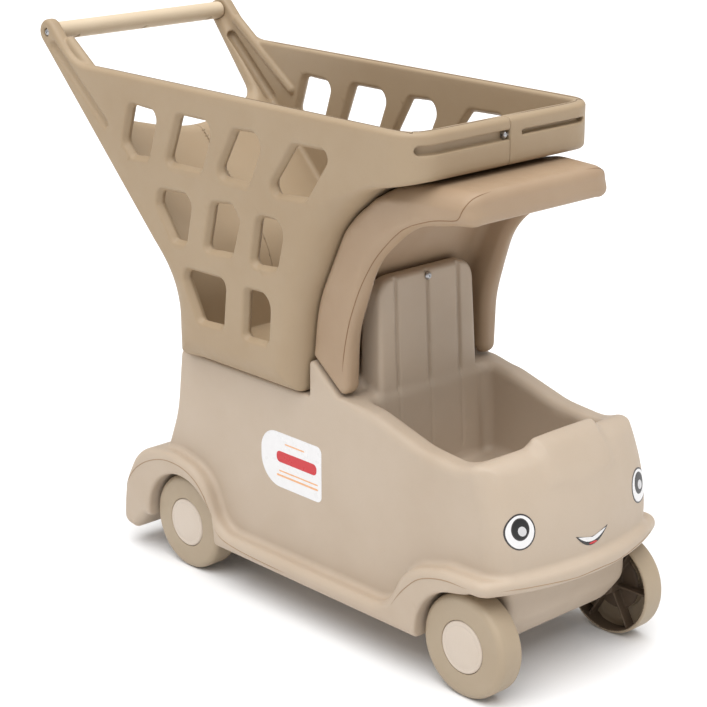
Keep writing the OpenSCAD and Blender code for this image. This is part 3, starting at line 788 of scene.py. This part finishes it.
def wheel_mesh(name):
    """A left wheel about the origin, closed outside, with a ribbed hollow on its inner side"""
    f = Field([-WHEEL_R - 3, 72, -WHEEL_R - 3], [WHEEL_R + 3, 107, WHEEL_R + 3], grid_step(WHEEL_STEP))
    rad = np.sqrt(f.x ** 2 + f.z ** 2)
    disc = both(5.5, rad - WHEEL_R, f.y - TREAD_OUT)
    disc = both(1.5, disc, TREAD_IN - f.y)
    hollow = both(3, rad - (WHEEL_R - TYRE_SKIN), f.y - (TREAD_OUT - 3.4))
    wall = both(3, rad - (CAP_R + 3.4), POCKET - 3 - f.y)
    hollow = np.maximum(hollow, -wall)
    solid = cut(0.8, disc, hollow)
    hub = both(1, rad - HUB_R, f.y - POCKET, 75.5 - f.y)
    for k in range(RIBS):
        a = math.pi * k / RIBS * 2
        across = np.abs(-f.x * math.sin(a) + f.z * math.cos(a)) - 1.0
        out = 6 - (f.x * math.cos(a) + f.z * math.sin(a))
        rib = both(0.6, across, out, rad - (WHEEL_R - 2), f.y - POCKET, TREAD_IN + 4 - f.y)
        hub = np.minimum(hub, rib)
    solid = joined(1.2, solid, hub)
    solid = cut(0.7, solid, np.maximum(rad - (CAP_R + 0.3), POCKET - f.y))
    solid = cut(0.3, solid, rad - (AXLE_R + 0.08))
    return shell_mesh(name, f, solid)


def cap_mesh(name):
    """The hub disc of a left wheel, with a shallow ring near its edge"""
    top = TREAD_OUT + 0.6
    profile = [[0, top - 1.5], [CAP_R - 2, top - 1.5], [CAP_R - 2, POCKET + 0.2], [CAP_R, POCKET + 0.2],
               [CAP_R, top - 1.6], [CAP_R - 0.2, top - 0.9], [CAP_R - 0.8, top - 0.3], [CAP_R - 1.6, top],
               [CAP_R - 3.2, top], [CAP_R - 3.6, top - 0.25], [CAP_R - 4.2, top - 0.25],
               [CAP_R - 4.8, top - 0.05], [10, top], [0, top]]
    return turned(name, profile)


for end, x in (("rear", RA), ("front", FA)):
    for side_name, side in (("right", -1), ("left", 1)):
        label = f"{end}_{side_name}"
        rides = f"{label}_wheel"
        mesh = wheel_mesh(f"tyre_{label}")
        if side < 0:
            mesh = flipped(mesh)
            mesh.name = f"tyre_{label}"
        co = np.empty(len(mesh.vertices) * 3)
        mesh.vertices.foreach_get("co", co)
        co = co.reshape(-1, 3) + np.array([x, 0, AXLE_Z]) * MM
        mesh.vertices.foreach_set("co", co.ravel())
        new_object(f"tyre_{label}", mesh, WHEEL, rides, [f"wheel_{label}"])
        # Painted shade: faces inside the wheel's hollow, within the tread and behind the outer face, take
        # the dark brown that stands for the shadow in the hollow
        mesh.materials.append(WHEEL_HOLLOW_SHADE)
        for face in mesh.polygons:
            away = math.hypot(face.center.x - x * MM, face.center.z - AXLE_Z * MM) / MM
            if away < WHEEL_R - 2.2 and abs(face.center.y) / MM < POCKET - 1:
                face.material_index = 1
        mesh = move_mesh(cap_mesh(f"cap_{label}"), x, 0, AXLE_Z, side)
        crease(new_object(f"cap_{label}", mesh, CREAM, rides, [f"hubcap_{label}"]))

for name in ("rear_axle", "front_axle", "axle_caps"):
    ob = frame["nodes"][name]
    ob.data.materials.clear()
    ob.data.materials.append(STEEL)

# ---------------------------------------------------------------- handle and screws

TUBE_R = 8.4
TUBE_BORE_R = 6.2
half_bar = SIDE_Y - WALL - 0.2
low, high = node_box("handle_bar")
f = Field(low - 3, high + 3, grid_step(HANDLE_STEP))
rad = np.sqrt((f.x - HANDLE_X) ** 2 + (f.z - HANDLE_Z) ** 2)
bar = both(1, rad - TUBE_R, np.abs(f.y) - half_bar)
bar = np.maximum(bar, -np.maximum(rad - TUBE_BORE_R, np.abs(f.y) - (half_bar - 8)))
# Three slanted slits on the front of the tube's underside
c, s = math.cos(math.radians(55)), math.sin(math.radians(55))
for y in (-80, 0, 80):
    out = (f.x - HANDLE_X) * c - (f.z - HANDLE_Z) * s
    turn = (f.x - HANDLE_X) * s + (f.z - HANDLE_Z) * c
    along = (f.y - y) * math.cos(0.7) + turn * math.sin(0.7)
    across = -(f.y - y) * math.sin(0.7) + turn * math.cos(0.7)
    bar = cut(0.4, bar, both(0.8, np.abs(along) - 4, np.abs(across) - 1.0, 5 - out))
new_object("handle_tube", shell_mesh("handle_tube", f, bar), HANDLE_SAND,
           replaces=["handle_bar"])

HEAD_R = 3.5
HEAD_H = 2.4
SHANK_R = 1.7


def screw_mesh(bm, seat, axis, length):
    """A pan screw with a cross recess; axis points along the shank"""
    seat = Vector(seat)
    axis = Vector(axis).normalized()
    u = axis.orthogonal().normalized()
    v = axis.cross(u)
    turns = 32
    angles = [2 * math.pi * k / turns for k in range(turns)]
    around = [u * math.cos(a) + v * math.sin(a) for a in angles]
    profile = [(SHANK_R * 0.3, length), (SHANK_R, length - 2), (SHANK_R, 0), (HEAD_R - 0.3, 0),
               (HEAD_R, -0.4), (HEAD_R * 0.97, -1.1), (HEAD_R * 0.86, -1.7), (HEAD_R * 0.66, -2.15),
               (HEAD_R * 0.5, -HEAD_H)]
    rings = [[bm.verts.new((seat + axis * t + q * r) * MM) for q in around] for r, t in profile]
    for a, b in zip(rings, rings[1:]):
        for k in range(turns):
            bm.faces.new([a[k], a[(k + 1) % turns], b[(k + 1) % turns], b[k]])
    bm.faces.new(rings[0][::-1])
    cross = [q * (HEAD_R * 0.46 if k % 8 in (0, 1, 7) else HEAD_R * 0.16) for k, q in enumerate(around)]
    inner = [bm.verts.new((seat - axis * HEAD_H + q) * MM) for q in cross]
    deep = [bm.verts.new((seat - axis * (HEAD_H - 1.5) + q * 0.8) * MM) for q in cross]
    for k in range(turns):
        m = (k + 1) % turns
        bm.faces.new([rings[-1][k], rings[-1][m], inner[m], inner[k]])
        bm.faces.new([inner[k], inner[m], deep[m], deep[k]])
    bm.faces.new(deep)


def screws(name, node, places):
    """One piece of several screws: each place is (head seat, shank direction, length)"""
    bm = bmesh.new()
    for seat, axis, length in places:
        screw_mesh(bm, seat, axis, length)
    bmesh.ops.recalc_face_normals(bm, faces=bm.faces)
    mesh = bpy.data.meshes.new(name)
    bm.to_mesh(mesh)
    bm.free()
    mesh.shade_smooth()
    crease(new_object(name, mesh, STEEL, replaces=[node]), 40)


screws("arm_screws", "handle_screws",
       [((HANDLE_X, s * (SIDE_Y - HANDLE_SCREW_DEPTH), HANDLE_Z), (0, -s, 0), 16) for s in (-1, 1)])
screws("seam_screw", "basket_seam_screw", [((BAND_X - 3.8, -4, SLOT_Z), (0, 1, 0), 13)])
screws("floor_screws", "basket_floor_screws",
       [((RA + x, y, DECK_Z + WALL - 3), (0, 0, -1), 20)
        for x in FLOOR_SCREW_X for y in (-FLOOR_SCREW_Y, FLOOR_SCREW_Y)])
screws("backrest_screw", "hood_screw", [((RA + 213.6, 0, 311.5), (-1, 0, 0), 27)])

# ---------------------------------------------------------------- stickers

FILM_ROWS = 8


def film(name, shapes, replaces, flat=None):
    """Printed layers as one piece: shapes are (points, material, lift above what carries them)

    They lie on the nose, where points are (y, z), or, with flat -1 or 1, on that side's wall,
    where points are (x, z).
    """
    bm = bmesh.new()
    materials = []
    for points, material, lift in shapes:
        if material not in materials:
            materials.append(material)
        index = materials.index(material)
        rows = FILM_ROWS
        centre = np.mean(points, axis=0)
        spread = np.array([centre + (np.array(p) - centre) * (row / rows)
                           for row in range(1, rows + 1) for p in points] + [centre])
        if flat is None:
            pts = np.column_stack([np.full(len(spread), FA + 40.0), spread])
            for _ in range(14):
                pts[:, 0] -= sample(BODY_FIELD, BODY_D, pts)
            n = slope(BODY_FIELD, BODY_D, pts, 1.0)
            sunk = 0.6
        else:
            pts = np.column_stack([spread[:, 0], np.full(len(spread), flat * BODY_Y), spread[:, 1]])
            n = np.tile([0, flat, 0], (len(pts), 1))
            sunk = 0.3
        count = len(points)
        rim = (rows - 1) * count
        tv = [bm.verts.new(p * MM) for p in pts + n * lift]
        lv = [bm.verts.new(p * MM) for p in (pts - n * sunk)[rim:rim + count]]
        faces = []
        for low in range(0, rim, count):
            high = low + count
            for k in range(count):
                m = (k + 1) % count
                faces.append(bm.faces.new([tv[low + k], tv[low + m], tv[high + m], tv[high + k]]))
        for k in range(count):
            m = (k + 1) % count
            faces.append(bm.faces.new([tv[-1], tv[m], tv[k]]))
            faces.append(bm.faces.new([tv[rim + k], tv[rim + m], lv[m], lv[k]]))
        faces.append(bm.faces.new(lv))
        for face in faces:
            face.material_index = index
            face.smooth = True
    bmesh.ops.recalc_face_normals(bm, faces=bm.faces)
    mesh = bpy.data.meshes.new(name)
    bm.to_mesh(mesh)
    bm.free()
    ob = new_object(name, mesh, materials[0], replaces=replaces)
    for material in materials[1:]:
        mesh.materials.append(material)
    crease(ob, 50)


def ellipse(cy, cz, a, b, tilt=0.0):
    """Points of an ellipse with half axes a and b, turned by tilt"""
    out = []
    for w in [2 * math.pi * k / 48 for k in range(48)]:
        p, q = a * math.cos(w), b * math.sin(w)
        out.append([cy + p * math.cos(tilt) - q * math.sin(tilt),
                    cz + p * math.sin(tilt) + q * math.cos(tilt)])
    return out


def eye(side_name):
    """An eye film: grey rim, white, pupil with a grey edge, and a pale glint"""
    node = f"eye_{side_name}"
    low, high = node_box(node)
    cy, cz = (low[1] + high[1]) / 2, (low[2] + high[2]) / 2
    a = (high[1] - low[1]) / 2 - 0.1
    b = (high[2] - low[2]) / 2 - 0.1
    up = 0.15 * b
    shapes = [
        (ellipse(cy, cz, a, b), GREY, 0.15),
        (ellipse(cy, cz, a * 0.91, b * 0.91), WHITE, 0.2),
        (ellipse(cy, cz + up, a * 0.6, b * 0.62), GREY, 0.25),
        (ellipse(cy, cz + up, a * 0.53, b * 0.55), BLACK, 0.3),
        (ellipse(cy + 0.1 * a, cz + up - 0.12 * b, a * 0.27, b * 0.28, tilt=0.5), PALE, 0.35)]
    film(f"eye_film_{side_name}", shapes, [node])


eye("right")
eye("left")

mouth_low, mouth_high = node_box("mouth")
MOUTH_TIP = mouth_high[2] - 0.3
HALF_MOUTH = (mouth_high[1] - mouth_low[1]) / 2 - 0.2


def smile(half, top, upper, lower):
    """The outline of a smile with pointed ends; upper and lower are how far each lip dips"""
    below = [[half * k, top - lower * (1 - k * k)] for k in np.linspace(-1, 1, 17)]
    above = [[half * k, top - upper * (1 - k * k)] for k in np.linspace(1, -1, 17)][1:-1]
    return below + above


film("mouth_film", [
    (smile(HALF_MOUTH, MOUTH_TIP, 4.6, 12), BLACK, 0.16),
    (smile(HALF_MOUTH * 0.88, MOUTH_TIP - 1.2, 4.2, 7.4), WHITE, 0.24),
    (ellipse(1.0, MOUTH_TIP - 10.2, 4.8, 1.0), RED, 0.3)], ["mouth"])


def side_label(side_name, side):
    """A plain white film with a red bar and three thin orange lines"""
    node = f"label_{side_name}"
    low, high = node_box(node)
    x0, x1, z0, z1 = low[0], high[0], low[2], high[2]
    base = outline([[x0 + 0.1, z0 + 0.1, 30], [x1 - 0.1, z0 + 0.1, 6],
                    [x1 - 0.1, z1 - 0.1, 6], [x0 + 0.1, z1 - 0.1, 20]])
    w, h = x1 - x0, z1 - z0

    def bar(u0, v0, u1, v1, r):
        """A rounded bar between two points given as shares of the film's sides"""
        return outline([[x0 + u0 * w, z0 + v0 * h, r], [x0 + u1 * w, z0 + v0 * h, r],
                        [x0 + u1 * w, z0 + v1 * h, r], [x0 + u0 * w, z0 + v1 * h, r]])

    shapes = [(base, WHITE, 0.15),
              (bar(0.26, 0.46, 0.92, 0.66, 4.5), RED, 0.22),
              (bar(0.26, 0.2, 0.94, 0.235, 0.8), ORANGE, 0.22),
              (bar(0.3, 0.29, 0.94, 0.315, 0.6), ORANGE, 0.22),
              (bar(0.4, 0.8, 0.72, 0.825, 0.6), ORANGE, 0.22)]
    film(f"label_film_{side_name}", shapes, [node], flat=side)


side_label("right", -1)
side_label("left", 1)

# ---------------------------------------------------------------- floor, lights, camera

floor_mesh = bpy.data.meshes.new("floor")
FLOOR = 6
floor_mesh.from_pydata([(-FLOOR, -FLOOR, 0), (FLOOR, -FLOOR, 0), (FLOOR, FLOOR, 0), (-FLOOR, FLOOR, 0)],
                       [], [(0, 1, 2, 3)])
floor = bpy.data.objects.new("floor", floor_mesh)
bpy.context.scene.collection.objects.link(floor)
fn = Nodes("floor_card")
pale = fn.mix(fn.noise(3, 2), (0.86, 0.86, 0.865, 1), (0.845, 0.845, 0.85, 1))
fn.put(fn.bsdf.inputs["Base Color"], pale)
fn.bsdf.inputs["Roughness"].default_value = 0.7
fn.bsdf.inputs["Specular IOR Level"].default_value = 0.2
floor_mesh.materials.append(fn.material)

world = bpy.data.worlds.new("studio")
bpy.context.scene.world = world
world.use_nodes = True
sky = world.node_tree.nodes["Background"].inputs
sky["Color"].default_value = (1, 1, 1, 1)
sky["Strength"].default_value = 0.58
bpy.context.scene.view_settings.view_transform = "Standard"

# One broad soft light from above the near side
light = bpy.data.lights.new("top", "SUN")
light.energy = 3.7
light.angle = math.radians(75)
lamp = bpy.data.objects.new("top", light)
bpy.context.scene.collection.objects.link(lamp)
lamp.rotation_euler = Vector((0.12, -0.2, 1.0)).to_track_quat("Z", "Y").to_euler()

AZIMUTH = math.radians(46.95)
ELEVATION = math.radians(18.09)
TARGET = Vector((0.02381, -0.0139, 0.22505))
REACH = 1.80535
camera_data = bpy.data.cameras.new("camera")
camera_data.sensor_width = 36
camera_data.lens = 102.4
camera = bpy.data.objects.new("camera", camera_data)
bpy.context.scene.collection.objects.link(camera)
away = Vector((math.sin(AZIMUTH) * math.cos(ELEVATION), -math.cos(AZIMUTH) * math.cos(ELEVATION),
               math.sin(ELEVATION)))
camera.location = TARGET + away * REACH
camera.rotation_euler = (-away).to_track_quat("-Z", "Y").to_euler()
bpy.context.scene.camera = camera
